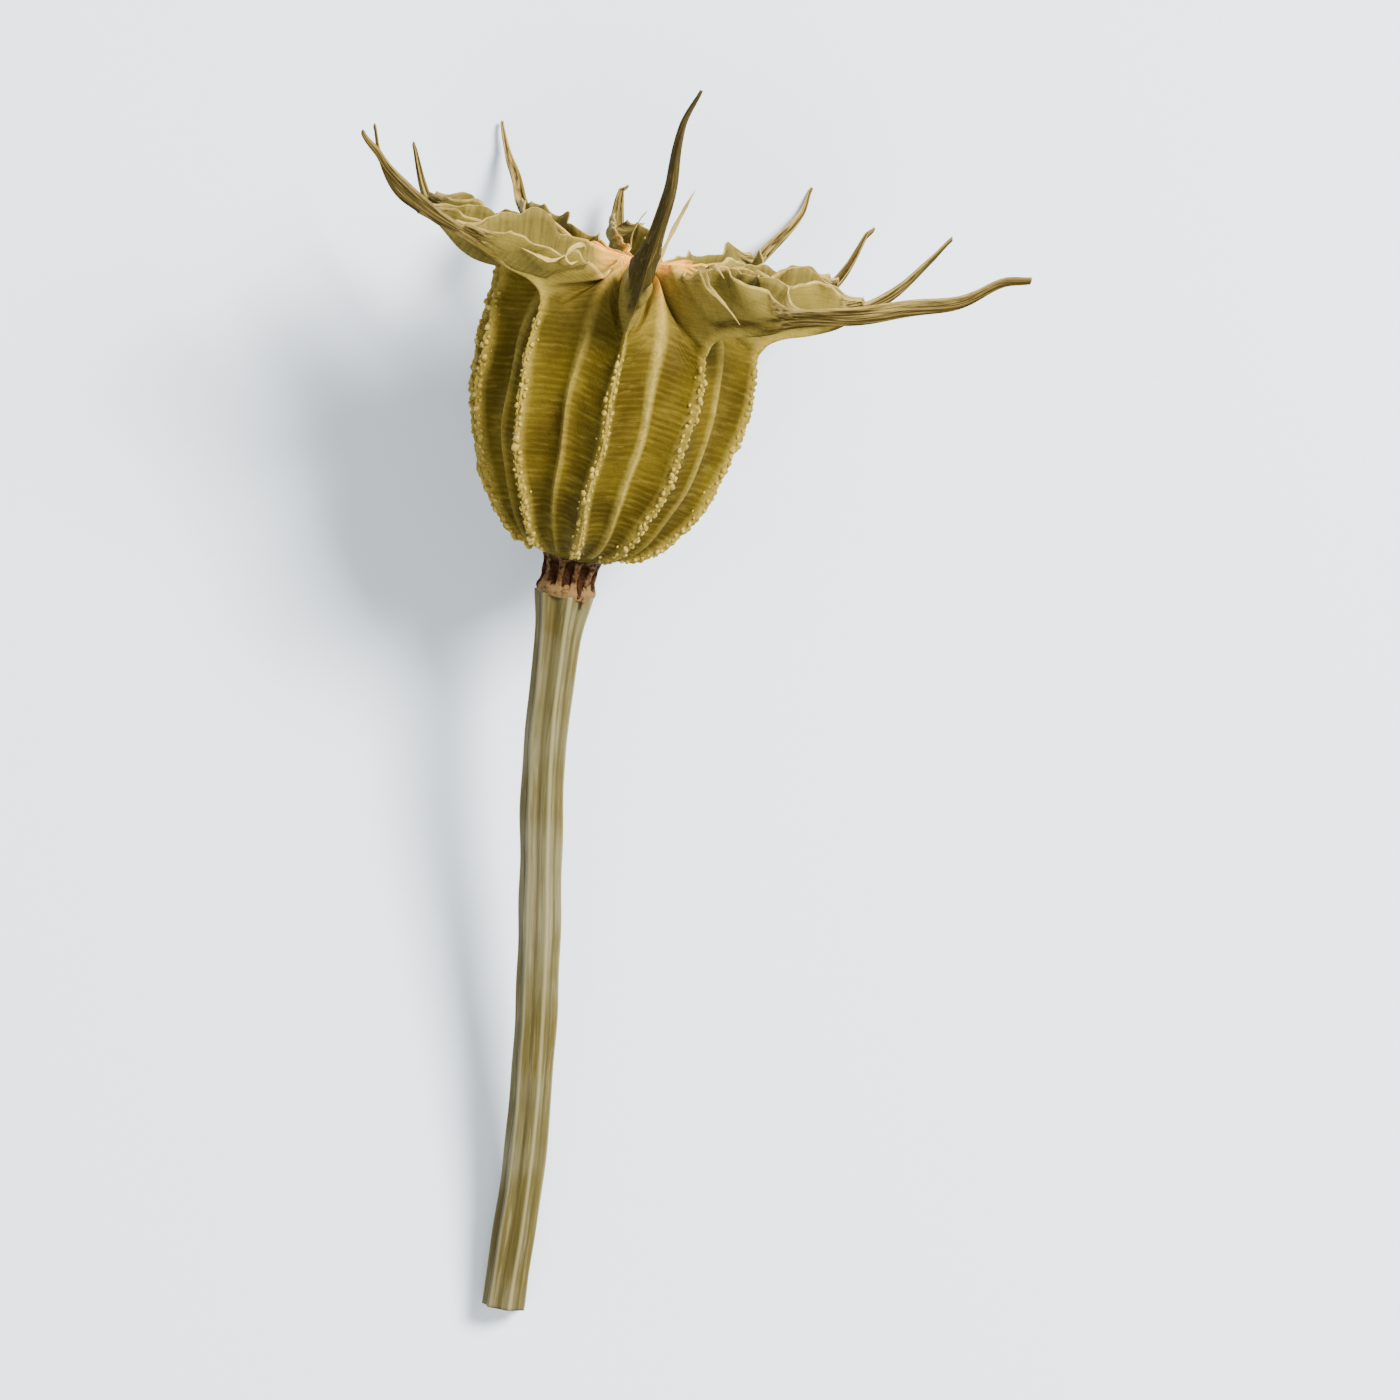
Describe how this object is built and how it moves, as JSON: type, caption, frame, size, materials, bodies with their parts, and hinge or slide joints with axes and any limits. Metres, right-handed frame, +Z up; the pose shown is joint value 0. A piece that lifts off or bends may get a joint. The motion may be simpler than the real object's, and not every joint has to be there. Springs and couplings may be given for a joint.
{
  "type": "nigella seed pod",
  "caption": "Dried nigella seed pod lying on its side: fused warty ribbed capsule with wavy winged follicles and long beaks, on a short fluted cut stem.",
  "frame": {"origin": "centre of the bounding box on the surface that the pod lies on", "axes": "+Z up from the surface, +Y along the pod from the stem's cut end to the head, +X to the right seen from above"},
  "size_m": [0.0396, 0.0721, 0.0292],
  "materials": {
    "capsule": "dry papery olive green and straw, with pale warty keels and cream lips",
    "receptacle": "dry dark red-brown with paler ribs",
    "stem": "dry matt grey-green, fluted"
  },
  "bodies": {
    "root": {"capsule": "capsule", "receptacle": "receptacle", "stem": "stem"}
  },
  "joints": []
}
